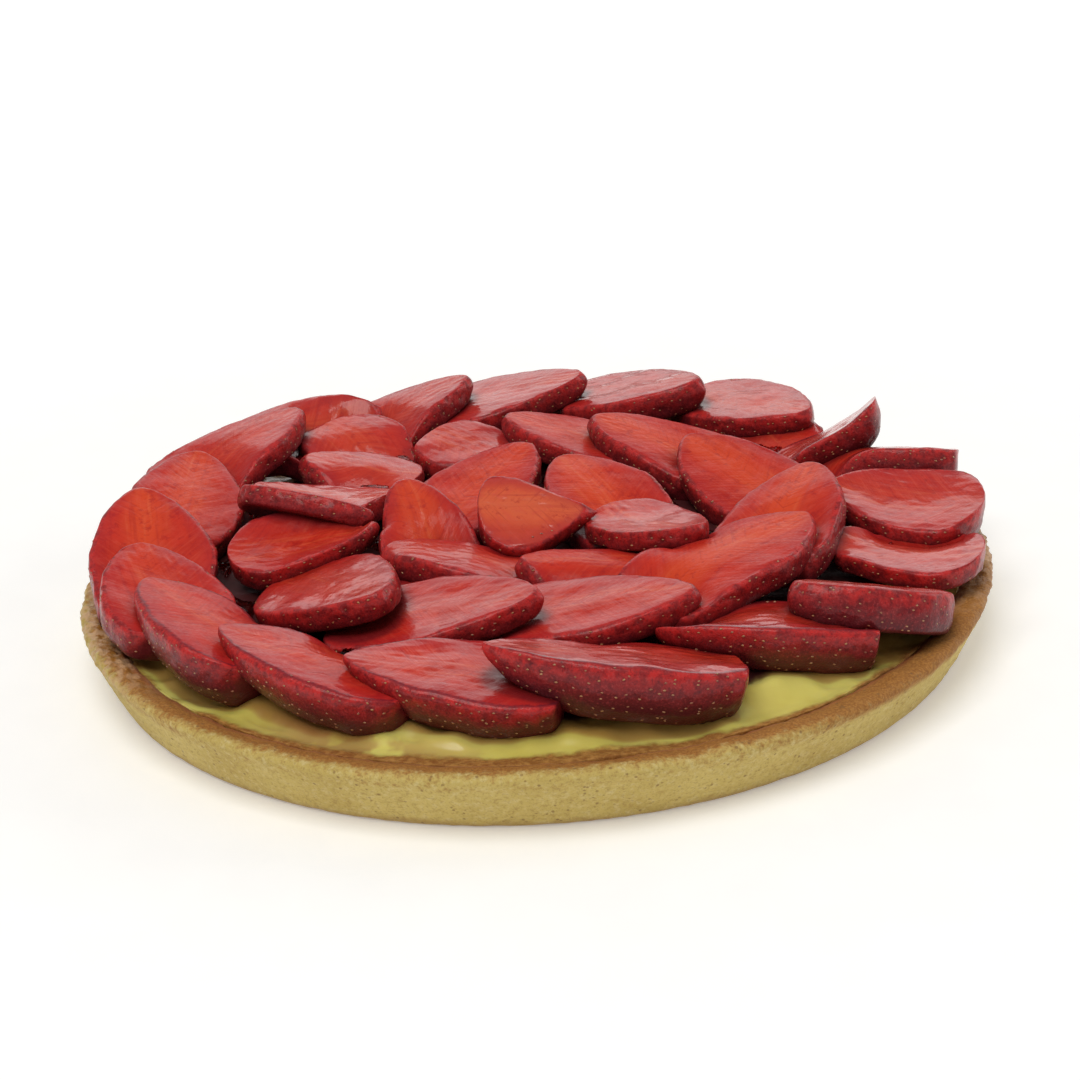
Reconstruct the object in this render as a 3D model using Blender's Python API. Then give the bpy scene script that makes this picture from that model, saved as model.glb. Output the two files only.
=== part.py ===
"""Strawberry tart: a shortcrust shell, a level custard filling and 41 strawberry slices laid in rings.

Units are metres, +Z is up and the origin is the middle of the shell's flat base.
"""

import bpy
import bmesh
import numpy as np

MM = 0.001
NO_DISTANCE = 0.05 * MM

# The shell: a straight flared side, a narrow rim and a flat floor.
BASE_RADIUS = 0.117
RIM_RADIUS = 0.125
RIM_WIDTH = 0.0090
SHELL_HEIGHT = 0.017
RIM_ROUNDING = 0.0012
FLOOR_THICKNESS = 0.004
FLOOR_RADIUS = 0.1125
SHELL_SEGMENTS = 80
RIM_HEIGHT_SWING = 0.0005
RIM_RADIUS_SWING = 0.0006

# The filling stops just under the rim.
CUSTARD_TOP = 0.015
GAP = 0.0003
CUSTARD_TO_WALL = 0.0012

# A slice: stations along the berry, points up each side of its section.
STATIONS = 9
SIDE_POINTS = 4
CUT_SHARE = 0.70
CUT_SPREAD = 0.06
SHOULDER_SHARE = 0.34
SHOULDER_SPREAD = 0.03
TIP_FULLNESS = 1.9
TIP_BLUNTNESS = 0.68
HALF_BERRY_FROM = 0.011
HALF_BERRY_RISE = 0.001
FACE_SHARE = 0.40
SIDEWAYS_BEND = 0.0014
CUTTER_REACH = 0.060
BERRY_SEED = 11

# Edges sharper than this stay sharp in the shading.
SHARP_ANGLE = np.radians(40)

# Each row is one slice, in the order in which it is laid: its ring, then millimetres and degrees.
# Clock and reach place its middle, height is that of its cut face there, turn is where the tip
# points, measured from the clock direction, rise lifts the tip and lean lifts the left edge.
#   ring, clock, reach, height, turn, rise, lean, length, width, thickness
SLICES_AS_LAID = (
    ("outer", 41, 98, 27.5, 252, 12, 0, 55, 32, 8),
    ("outer", 50, 107, 30.0, 257, 7, 6, 57, 34, 7),
    ("outer", 71, 103, 32.0, 255, 13, 4, 55, 34, 10),
    ("outer", 94, 103, 31.0, 263, 12, 3, 56, 34, 8),
    ("outer", 114, 103, 31.0, 270, 13, -3, 56, 33, 8),
    ("outer", 131, 108, 34.0, 254, 11, 0, 56, 34, 8),
    ("middle", 127, 81, 30.5, 179, 0, 4, 48, 31, 7),
    ("outer", 145, 109, 33.5, 259, 9, -2, 56, 33, 8),
    ("outer", 163, 104, 30.5, 283, 8, 14, 55, 34, 9),
    ("outer", 185, 105, 32.0, 275, 17, 6, 53, 34, 9),
    ("outer", 199, 104, 30.0, 273, 12, 8, 45, 34, 9),
    ("outer", 214, 100, 30.5, 277, 5, 12, 54, 34, 14),
    ("outer", 236.5, 95.5, 29.0, 278.5, 8, 6, 56, 31, 13),
    ("outer", 257.5, 93, 28.5, 271.5, 6, -2, 54, 32, 13),
    ("outer", 280.5, 94, 31.0, 265.5, 11, 13, 62, 34, 15),
    ("outer", 306.5, 92.5, 29.5, 236.5, 5, 9, 54, 28, 13),
    ("outer", 323, 103, 30.0, 241, 17, 16, 46, 33, 11),
    ("outer", 342, 102, 27.5, 176, 1, -6, 42, 32, 6),
    ("outer", 357, 102, 30.5, 160, 3, -10, 44, 34, 9),
    ("outer", 17, 102, 32.0, 152, 2, 21, 53, 32, 8),
    ("outer", 26, 95, 31.7, 149, -20, 15, 40, 22, 12),
    ("middle", 135, 72, 28.5, 20, 5, 5, 40, 27, 10),
    ("middle", 103, 62, 27.0, 211, -5, 8, 44, 30, 10),
    ("middle", 78, 69, 28.5, 78, 11, 3, 47, 31, 8),
    ("middle", 51, 68, 29.0, 96, 11, 0, 56, 34, 9),
    ("middle", 23, 67, 28.5, 100, 9, -9, 56, 33, 9),
    ("middle", 345, 69, 34.5, 79, 8, -8, 56, 33, 9),
    ("inner", 37, 25, 29.0, 77, 7, -6, 55, 33, 9),
    ("inner", 114, 33, 28.5, 303, 8, 3, 55, 33, 9),
    ("inner", 210, 31, 33.5, 258, 12, 1, 58, 31, 9),
    ("inner", 235, 30, 29.5, 294, 8, 10, 48, 31, 8),
    ("inner", 297, 37, 30.0, 239, 3, 14, 44, 30, 9),
    ("middle", 317.5, 65, 34.5, 79.5, 2, -1, 65, 36, 8),
    ("middle", 282, 63, 30.0, 66, 10, 3, 56, 33, 7),
    ("middle", 246, 64, 30.0, 97, 13, 6, 58, 33, 7),
    ("middle", 218, 66, 30.5, 82, 14, 11, 56, 35, 7),
    ("middle", 154, 68, 28.5, 10, 3, 12, 42, 26, 7),
    ("middle", 187, 63, 31.0, 185, 8, 8, 42, 30, 7),
    ("middle", 169, 63, 33.0, 167, -3, -38, 42, 21, 6),
    ("inner", 337, 36, 31.5, 322, 10, -3, 44, 29, 6),
    ("inner", 300, 4, 33.5, 60, -5, 28, 33, 27, 7),
)

CRUST_LOOK = ((0.62, 0.42, 0.20), 0.75)
CUSTARD_LOOK = ((0.72, 0.62, 0.16), 0.35)
BERRY_LOOK = ((0.50, 0.03, 0.03), 0.25)


def clear_scene():
    for old in list(bpy.data.objects):
        bpy.data.objects.remove(old, do_unlink=True)


def make_material(name, look):
    colour, roughness = look
    material = bpy.data.materials.new(name)
    material.use_nodes = True
    shader = material.node_tree.nodes["Principled BSDF"]
    shader.inputs["Base Color"].default_value = (*colour, 1.0)
    shader.inputs["Roughness"].default_value = roughness
    shader.inputs["Metallic"].default_value = 0.0
    return material


def add_object(name, verts, faces, material=None):
    mesh = bpy.data.meshes.new(name)
    mesh.from_pydata([tuple(v) for v in verts], [], [tuple(f) for f in faces])
    work = bmesh.new()
    work.from_mesh(mesh)
    bmesh.ops.remove_doubles(work, verts=work.verts, dist=NO_DISTANCE)
    bmesh.ops.dissolve_degenerate(work, edges=work.edges, dist=NO_DISTANCE)
    bmesh.ops.recalc_face_normals(work, faces=work.faces)
    work.to_mesh(mesh)
    work.free()
    mesh.shade_smooth()
    mesh.set_sharp_from_angle(angle=SHARP_ANGLE)
    obj = bpy.data.objects.new(name, mesh)
    bpy.context.scene.collection.objects.link(obj)
    if material:
        mesh.materials.append(material)
    return obj


def as_helper(obj):
    obj.hide_render = True
    obj.display_type = "WIRE"
    return obj


def rim_swing(theta):
    """How far the hand-lined rim strays in height and radius, as two slow waves each."""
    height = 0.6 * np.cos(2 * theta - 0.8) + 0.4 * np.cos(5 * theta + 1.1)
    radius = 0.6 * np.cos(2 * theta + 2.2) + 0.4 * np.cos(3 * theta - 0.4)
    return RIM_HEIGHT_SWING * height, RIM_RADIUS_SWING * radius


def turned(profile, name, material=None):
    """A closed solid turned round Z: profile(theta) gives radius and height arrays from pole to pole."""
    theta = np.linspace(0, 2 * np.pi, SHELL_SEGMENTS, endpoint=False)
    radius, height = profile(theta)
    rings = len(radius)
    points = np.stack([radius * np.cos(theta), radius * np.sin(theta), height], axis=-1)
    verts = [(0, 0, height[0].mean())]
    verts += [tuple(p) for p in points.reshape(-1, 3)]
    verts.append((0, 0, height[-1].mean()))
    last = len(verts) - 1
    faces = []
    for j in range(SHELL_SEGMENTS):
        k = (j + 1) % SHELL_SEGMENTS
        faces.append((0, 1 + k, 1 + j))
        for i in range(rings - 1):
            low = 1 + i * SHELL_SEGMENTS
            high = low + SHELL_SEGMENTS
            faces.append((low + j, low + k, high + k, high + j))
        top = 1 + (rings - 1) * SHELL_SEGMENTS
        faces.append((top + j, top + k, last))
    return add_object(name, verts, faces, material)


def inner_wall_radius(height):
    """The inner face of the shell's side, straight from the floor's edge to the rim's inner edge."""
    share = (height - FLOOR_THICKNESS) / (SHELL_HEIGHT - FLOOR_THICKNESS)
    return FLOOR_RADIUS + share * (RIM_RADIUS - RIM_WIDTH - FLOOR_RADIUS)


def shell_profile(theta):
    lift, spread = rim_swing(theta)
    outer = RIM_RADIUS + spread
    inner = RIM_RADIUS - RIM_WIDTH + spread
    top = SHELL_HEIGHT + lift
    flat = np.zeros_like(theta)
    radius = np.stack([
        flat + BASE_RADIUS,
        outer - RIM_ROUNDING * 0.3,
        outer - RIM_ROUNDING * 0.4,
        outer - RIM_ROUNDING * 1.6,
        inner + RIM_ROUNDING,
        inner,
        flat + FLOOR_RADIUS,
    ])
    height = np.stack([
        flat,
        top - RIM_ROUNDING * 1.8,
        top - RIM_ROUNDING * 0.7,
        top,
        top,
        top - RIM_ROUNDING * 0.8,
        flat + FLOOR_THICKNESS,
    ])
    return radius, height


def custard_profile(theta):
    floor = FLOOR_THICKNESS + GAP
    wall_low = inner_wall_radius(floor) - CUSTARD_TO_WALL
    wall_high = inner_wall_radius(CUSTARD_TOP) - CUSTARD_TO_WALL
    flat = np.zeros_like(theta)
    return np.stack([flat + wall_low, flat + wall_high]), np.stack([flat + floor, flat + CUSTARD_TOP])


def bed_profile(theta):
    """All that a slice may rest on, the shell and its filling, swollen by the gap."""
    lift, spread = rim_swing(theta)
    outer = RIM_RADIUS + spread + GAP
    inner = RIM_RADIUS - RIM_WIDTH + spread - GAP
    top = SHELL_HEIGHT + lift + GAP
    flat = np.zeros_like(theta)
    radius = np.stack([flat + BASE_RADIUS, outer, outer, inner, inner])
    height = np.stack([flat, top - RIM_ROUNDING, top, top, flat + CUSTARD_TOP + GAP])
    return radius, height


def berry_radius(share, cut, shoulder):
    """Radius of a berry along its length, as a share of the widest: 0 is the calyx cut, 1 the tip."""
    near = 1 - (1 - cut) * ((shoulder - np.minimum(share, shoulder)) / shoulder) ** 2
    beyond = np.clip((share - shoulder) / (1 - shoulder), 0, 1)
    far = (1 - beyond**TIP_FULLNESS) ** TIP_BLUNTNESS
    return np.where(share < shoulder, near, far)


def slice_points(length, width, thickness, form, grow=0.0):
    """Rings of points round a slice from its calyx cut to its tip, in its own frame.

    X runs to the tip, Y to the left and Z up from the cut face. The berry is round about an axis
    below the face, and two parallel cuts leave the slice between them. grow swells it all round.
    """
    cut, shoulder, bend = form
    rise = HALF_BERRY_RISE if thickness > HALF_BERRY_FROM else FACE_SHARE * thickness
    share = np.sin(np.linspace(0, np.pi / 2, STATIONS))
    radius = width / 2 * berry_radius(share, cut, shoulder)[:-1] + grow
    up = np.arcsin(np.clip((rise + grow) / radius, -1, 1))
    down = np.arcsin(np.clip((rise - thickness - grow) / radius, -1, 1))
    side = down[:, None] + (up - down)[:, None] * np.linspace(0, 1, SIDE_POINTS)
    angle = np.concatenate([side, np.pi - side[:, ::-1]], axis=1)
    reach = (length + 2 * grow) * (share - 0.5)
    sway = bend * np.sin(np.pi * share)
    x = np.broadcast_to(reach[:-1, None], angle.shape)
    y = radius[:, None] * np.cos(angle) + sway[:-1, None]
    z = radius[:, None] * np.sin(angle) - rise
    tip = np.array([[reach[-1], sway[-1], -rise]])
    return np.concatenate([np.stack([x, y, z], axis=-1).reshape(-1, 3), tip])


def slice_faces():
    around = 2 * SIDE_POINTS
    rings = STATIONS - 1
    tip = rings * around
    faces = [tuple(reversed(range(around)))]
    for j in range(around):
        k = (j + 1) % around
        for i in range(rings - 1):
            faces.append((i * around + j, i * around + k, (i + 1) * around + k, (i + 1) * around + j))
        faces.append(((rings - 1) * around + j, (rings - 1) * around + k, tip))
    return faces


def turn_matrix(heading, rise, lean):
    ch, sh = np.cos(heading), np.sin(heading)
    cr, sr = np.cos(rise), np.sin(rise)
    cl, sl = np.cos(lean), np.sin(lean)
    about_z = np.array([[ch, -sh, 0], [sh, ch, 0], [0, 0, 1]])
    tip_up = np.array([[cr, 0, -sr], [0, 1, 0], [sr, 0, cr]])
    edge_up = np.array([[1, 0, 0], [0, cl, -sl], [0, sl, cl]])
    return about_z @ tip_up @ edge_up


class Slice:
    """One slice of strawberry where it lies: its points, and the room it needs in those below."""

    def __init__(self, name, row, form):
        clock, reach, height, turn, rise, lean = row[:6]
        size = [value * MM for value in row[6:]]
        at = np.radians(clock)
        self.name = name
        self.middle = np.array([reach * np.cos(at), reach * np.sin(at), height]) * MM
        self.turned = turn_matrix(np.radians(clock + turn), np.radians(rise), np.radians(lean))
        self.points = self.place(slice_points(*size, form))
        self.swollen = self.place(slice_points(*size, form, GAP))

    def place(self, points):
        return points @ self.turned.T + self.middle

    def near(self, other):
        low = np.maximum(self.points.min(axis=0), other.swollen.min(axis=0))
        high = np.minimum(self.points.max(axis=0), other.swollen.max(axis=0) + (0, 0, CUTTER_REACH))
        return bool((high > low).all())


def plan_slices():
    """Every slice in laying order, its form varied a little from berry to berry."""
    rng = np.random.default_rng(BERRY_SEED)
    count = {"outer": 0, "middle": 0, "inner": 0}
    plan = []
    for ring, *row in SLICES_AS_LAID:
        count[ring] += 1
        cut = CUT_SHARE + CUT_SPREAD * rng.uniform(-1, 1)
        shoulder = SHOULDER_SHARE + SHOULDER_SPREAD * rng.uniform(-1, 1)
        bend = SIDEWAYS_BEND * rng.uniform(-1, 1)
        plan.append(Slice(f"slice_{ring}_{count[ring]:02d}", row, (cut, shoulder, bend)))
    return plan


def pressing_cutter(piece):
    """A swollen slice drawn upwards: what it takes out of every slice that it is laid on."""
    points = np.concatenate([piece.swollen, piece.swollen + (0, 0, CUTTER_REACH)])
    work = bmesh.new()
    for point in points:
        work.verts.new(point)
    bmesh.ops.remove_doubles(work, verts=work.verts, dist=NO_DISTANCE)
    hull = bmesh.ops.convex_hull(work, input=work.verts)
    unused = [item for item in hull["geom_interior"] if isinstance(item, bmesh.types.BMVert)]
    bmesh.ops.delete(work, geom=unused, context="VERTS")
    mesh = bpy.data.meshes.new(f"press_{piece.name}")
    work.to_mesh(mesh)
    work.free()
    obj = bpy.data.objects.new(mesh.name, mesh)
    bpy.context.scene.collection.objects.link(obj)
    return as_helper(obj)


def subtract(obj, cutter):
    modifier = obj.modifiers.new(f"clear of {cutter.name}", "BOOLEAN")
    modifier.operation = "DIFFERENCE"
    modifier.solver = "EXACT"
    modifier.object = cutter


def islands(work):
    """The connected pieces of a bmesh, as lists of vertices."""
    left = set(work.verts)
    found = []
    while left:
        stack = [left.pop()]
        piece = list(stack)
        while stack:
            for edge in stack.pop().link_edges:
                for vert in edge.verts:
                    if vert in left:
                        left.remove(vert)
                        stack.append(vert)
                        piece.append(vert)
        found.append(piece)
    return found


def settle_mesh(obj):
    """Applies the cuts and keeps the largest piece, without the thin offcuts round it."""
    graph = bpy.context.evaluated_depsgraph_get()
    work = bmesh.new()
    work.from_object(obj, graph)
    pieces = sorted(islands(work), key=len)
    scraps = [vert for piece in pieces[:-1] for vert in piece]
    bmesh.ops.delete(work, geom=scraps, context="VERTS")
    bmesh.ops.remove_doubles(work, verts=work.verts, dist=NO_DISTANCE)
    bmesh.ops.dissolve_degenerate(work, edges=work.edges, dist=NO_DISTANCE)
    bmesh.ops.triangulate(work, faces=work.faces)
    obj.modifiers.clear()
    work.to_mesh(obj.data)
    work.free()
    obj.data.shade_smooth()
    obj.data.set_sharp_from_angle(angle=SHARP_ANGLE)


def build_slices():
    berry = make_material("strawberry", BERRY_LOOK)
    bed = as_helper(turned(bed_profile, "bed_of_slices"))
    plan = plan_slices()
    cutters = [pressing_cutter(piece) for piece in plan]
    faces = slice_faces()
    laid = []
    for number, piece in enumerate(plan):
        obj = add_object(piece.name, piece.points, faces, berry)
        subtract(obj, bed)
        for later in range(number + 1, len(plan)):
            if piece.near(plan[later]):
                subtract(obj, cutters[later])
        laid.append(obj)
    bpy.context.view_layer.update()
    for obj in laid:
        settle_mesh(obj)


def main():
    clear_scene()
    turned(shell_profile, "crust", make_material("shortcrust", CRUST_LOOK))
    turned(custard_profile, "custard", make_material("custard", CUSTARD_LOOK))
    build_slices()


main()
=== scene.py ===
# %% [markdown]
# # A strawberry tart
#
# A flat shortcrust case is baked, filled with set custard and covered with sliced strawberries,
# which are laid from the rim inwards like roof tiles. Warm red glaze is brushed over the fruit, so it
# lies thin on the cut faces and gathers in the low places between them. The slices are planned and
# pressed before anything gets a mesh, because each one bends under what is laid on it later.

import bpy
import numpy as np
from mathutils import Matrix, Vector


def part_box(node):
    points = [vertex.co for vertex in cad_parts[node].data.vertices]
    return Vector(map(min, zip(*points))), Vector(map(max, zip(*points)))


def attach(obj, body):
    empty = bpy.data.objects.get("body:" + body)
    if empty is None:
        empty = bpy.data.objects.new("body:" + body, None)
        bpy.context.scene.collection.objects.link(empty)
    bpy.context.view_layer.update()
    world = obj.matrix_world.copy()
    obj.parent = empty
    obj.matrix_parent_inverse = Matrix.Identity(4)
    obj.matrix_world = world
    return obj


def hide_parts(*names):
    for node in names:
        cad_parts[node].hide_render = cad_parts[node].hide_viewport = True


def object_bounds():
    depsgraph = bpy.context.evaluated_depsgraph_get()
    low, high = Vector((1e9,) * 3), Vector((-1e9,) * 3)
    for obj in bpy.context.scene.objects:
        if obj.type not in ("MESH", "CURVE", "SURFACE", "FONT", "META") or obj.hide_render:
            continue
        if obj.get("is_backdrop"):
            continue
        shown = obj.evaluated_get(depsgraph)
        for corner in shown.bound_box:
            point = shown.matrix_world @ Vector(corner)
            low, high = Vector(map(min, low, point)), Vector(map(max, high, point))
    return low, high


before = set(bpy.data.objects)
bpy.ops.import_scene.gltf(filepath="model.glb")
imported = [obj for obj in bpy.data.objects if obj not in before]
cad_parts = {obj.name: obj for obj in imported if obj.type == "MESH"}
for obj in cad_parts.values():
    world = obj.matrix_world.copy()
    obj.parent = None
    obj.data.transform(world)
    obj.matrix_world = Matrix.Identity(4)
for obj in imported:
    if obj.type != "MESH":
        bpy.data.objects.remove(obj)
cad_low, cad_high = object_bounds()
MM = 0.001
print("frame loaded:", len(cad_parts), "nodes, box", [round(v / MM, 1) for v in (*cad_low, *cad_high)])

# %% [markdown]
# ## Tools for surfaces and noise
#
# Everything on the tart is a grid of points that closes on itself, so one function turns any grid
# into a mesh. Unevenness comes from a sum of a few dozen sine waves with seeded directions. That is
# smooth, has no seams, and can be worked out for all the points of a surface at once.

# %% Meshes from arrays
def mesh_object(name, points, faces, body="root", slot=None, **attributes):
    """A shaded smooth mesh from points (n, 3) and a list of face arrays (m, 3) or (m, 4).

    Each attribute is one value (n) or one vector (n, 3) for every point, for its material to read.
    """
    mesh = bpy.data.meshes.new(name)
    mesh.vertices.add(len(points))
    mesh.vertices.foreach_set("co", np.ascontiguousarray(points, np.float32).ravel())
    corners = np.concatenate([f.ravel() for f in faces])
    sizes = np.concatenate([np.full(len(f), f.shape[1]) for f in faces])
    mesh.loops.add(len(corners))
    mesh.loops.foreach_set("vertex_index", corners.astype(np.int32))
    mesh.polygons.add(len(sizes))
    mesh.polygons.foreach_set("loop_start", (np.cumsum(sizes) - sizes).astype(np.int32))
    mesh.update(calc_edges=True)
    for key, values in attributes.items():
        values = np.ascontiguousarray(values, np.float32)
        kind, field = ("FLOAT", "value") if values.ndim == 1 else ("FLOAT_VECTOR", "vector")
        mesh.attributes.new(key, kind, "POINT").data.foreach_set(field, values.ravel())
    mesh.shade_smooth()
    obj = bpy.data.objects.new(name, mesh)
    bpy.context.scene.collection.objects.link(obj)
    if body:
        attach(obj, body)
    return obj


def tube_faces(rings, around):
    """Faces of a tube of rings with one pole at each end: pole, rings in order, other pole."""
    i, j = np.meshgrid(np.arange(rings - 1), np.arange(around), indexing="ij")
    k = (j + 1) % around
    a = 1 + i * around
    quads = np.stack([a + j, a + k, a + around + k, a + around + j], axis=-1).reshape(-1, 4)
    j = np.arange(around)
    k = (j + 1) % around
    last = 1 + (rings - 1) * around
    first_fan = np.stack([np.zeros_like(j), 1 + k, 1 + j], axis=-1)
    last_fan = np.stack([np.full_like(j, last + around), last + j, last + k], axis=-1)
    return [quads, first_fan, last_fan]


def turned(radius, height, theta):
    """Points at a radius and height, turned by theta about the upright axis: (r cos, r sin, z)."""
    x, y = radius * np.cos(theta), radius * np.sin(theta)
    return np.stack([x, y, np.broadcast_to(height, x.shape)], axis=-1)


print("mesh tools ready")

# %% Smooth noise and height maps
def waves(points, size, seed, count=28, stretch=(1, 1, 1)):
    """Smooth noise near -1 to 1: sum of sin(k.p + phase), wavelengths from 0.7 to 1.4 times size."""
    rng = np.random.default_rng(seed)
    way = rng.normal(size=(count, 3))
    way /= np.linalg.norm(way, axis=1)[:, None]
    way *= 2 * np.pi / (size * rng.uniform(0.7, 1.4, (count, 1))) / np.array(stretch)
    phase = rng.uniform(0, 2 * np.pi, count)
    total = np.sin(points.reshape(-1, 3) @ way.T + phase).sum(axis=1)
    return (total * np.sqrt(2 / count) / 1.6).reshape(points.shape[:-1])


def smooth_step(low, high, value):
    """0 below low, 1 above high, t*t*(3-2t) between."""
    t = np.clip((value - low) / (high - low), 0, 1)
    return t * t * (3 - 2 * t)


STEP = 0.6 * MM
HALF_MAP = 132 * MM
CELLS = int(2 * HALF_MAP / STEP) + 1
FAR_UP = 1.0
axis_line = -HALF_MAP + STEP * np.arange(CELLS)
MAP_X, MAP_Y = np.meshgrid(axis_line, axis_line, indexing="ij")


def sample(height_map, x, y):
    """Height map value at x, y, mixed from the four nearest cells."""
    u = np.clip((x + HALF_MAP) / STEP, 0, CELLS - 1.001)
    v = np.clip((y + HALF_MAP) / STEP, 0, CELLS - 1.001)
    i, j = u.astype(int), v.astype(int)
    a, b = u - i, v - j
    top = height_map[i, j] * (1 - b) + height_map[i, j + 1] * b
    low = height_map[i + 1, j] * (1 - b) + height_map[i + 1, j + 1] * b
    return top * (1 - a) + low * a


def blurred(height_map, times):
    """Each pass mixes a cell half and half with the mean of its four sides."""
    for _ in range(times):
        padded = np.pad(height_map, 1, mode="edge")
        sides = padded[2:, 1:-1] + padded[:-2, 1:-1] + padded[1:-1, 2:] + padded[1:-1, :-2]
        height_map = 0.5 * height_map + 0.125 * sides
    return height_map


print("height maps:", CELLS, "cells a side of", STEP / MM, "mm")

# %% [markdown]
# ## The shape of the case
#
# The case is lined by hand into a shallow ring, so its rim wanders a little in height and radius.
# The same two slow waves as in the CAD drive it, so the baked skin fits over the CAD solid. The
# lip is rounded, falls inwards to the custard and is a little lumpy, as rolled dough is.

# %% Rim, custard level and the bed for the fruit
RIM_RADIUS = 125 * MM
RIM_WIDTH = 9 * MM
SHELL_HEIGHT = 17 * MM
CUSTARD_TOP = 15 * MM
CUSTARD_SWELL = 2.4 * MM
RIM_HEIGHT_SWING = 0.5 * MM
RIM_RADIUS_SWING = 0.6 * MM


def rim_swing(theta):
    """How far the rim strays in height and radius: two cosines of the turn for each."""
    height = 0.6 * np.cos(2 * theta - 0.8) + 0.4 * np.cos(5 * theta + 1.1)
    radius = 0.6 * np.cos(2 * theta + 2.2) + 0.4 * np.cos(3 * theta - 0.4)
    return RIM_HEIGHT_SWING * height, RIM_RADIUS_SWING * radius


# Radius and height of the case from its outer foot over the lip to the inner foot, in millimetres.
FOOT_AND_WALL = ((116.9, 0.0), (117.7, 0.4), (118.2, 1.5), (121.0, 7.5), (123.8, 13.6), (124.6, 15.3))
LIP = ((124.4, 16.5), (123.3, 17.1), (121.2, 17.1), (118.8, 16.5), (116.9, 15.8), (115.5, 14.4))
INSIDE = ((114.2, 10.0), (112.8, 5.0), (111.2, 4.2))


def custard_height(x, y):
    """Set custard: level, with low swells 25 mm across, rising to the case at its edge and to the fruit."""
    points = np.stack([x, y, np.zeros_like(x)], axis=-1)
    radius = np.hypot(x, y)
    swell = CUSTARD_SWELL * smooth_step(111 * MM, 102 * MM, radius)
    swell = CUSTARD_TOP + swell + 0.35 * MM * waves(points, 25 * MM, 5)
    edge = RIM_RADIUS - RIM_WIDTH + rim_swing(np.arctan2(y, x))[1] - radius
    return swell + 0.6 * MM * smooth_step(4 * MM, 0, edge)


def rim_height(x, y):
    """Top of the lip over a point, or the height of the base where there is no lip."""
    lift, spread = rim_swing(np.arctan2(y, x))
    radius, height = np.array(LIP[::-1]).T * MM
    radius = np.concatenate([[0, radius[0] - MM], radius, [radius[-1] + MM]])
    height = np.concatenate([[0, 0], height, [0]])
    return np.interp(np.hypot(x, y) - spread, radius, height) + lift


def bed_height(x, y):
    """What a slice can rest on: the custard or the lip, whichever is higher."""
    outside = smooth_step(RIM_RADIUS - 3 * MM, RIM_RADIUS, np.hypot(x, y))
    return np.maximum(custard_height(x, y) * (1 - outside), rim_height(x, y))


print("lip from", LIP[0], "to", LIP[-1], "mm; custard at", CUSTARD_TOP / MM, "mm")

# %% [markdown]
# ## The strawberry slices
#
# A slice is what two parallel cuts leave of a berry: a flat face, a strip of seeded skin round it
# and a second face below. The berry is round about its own axis, full near the calyx and drawn in
# to a tip. It could be cut from a whole berry with a Boolean, but that leaves ragged triangles. Here
# a grid is worked out instead, so its seeds, fibres and edges are known at every point. Every slice
# has its own place, size and tilt, which the table gives in laying order.

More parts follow.
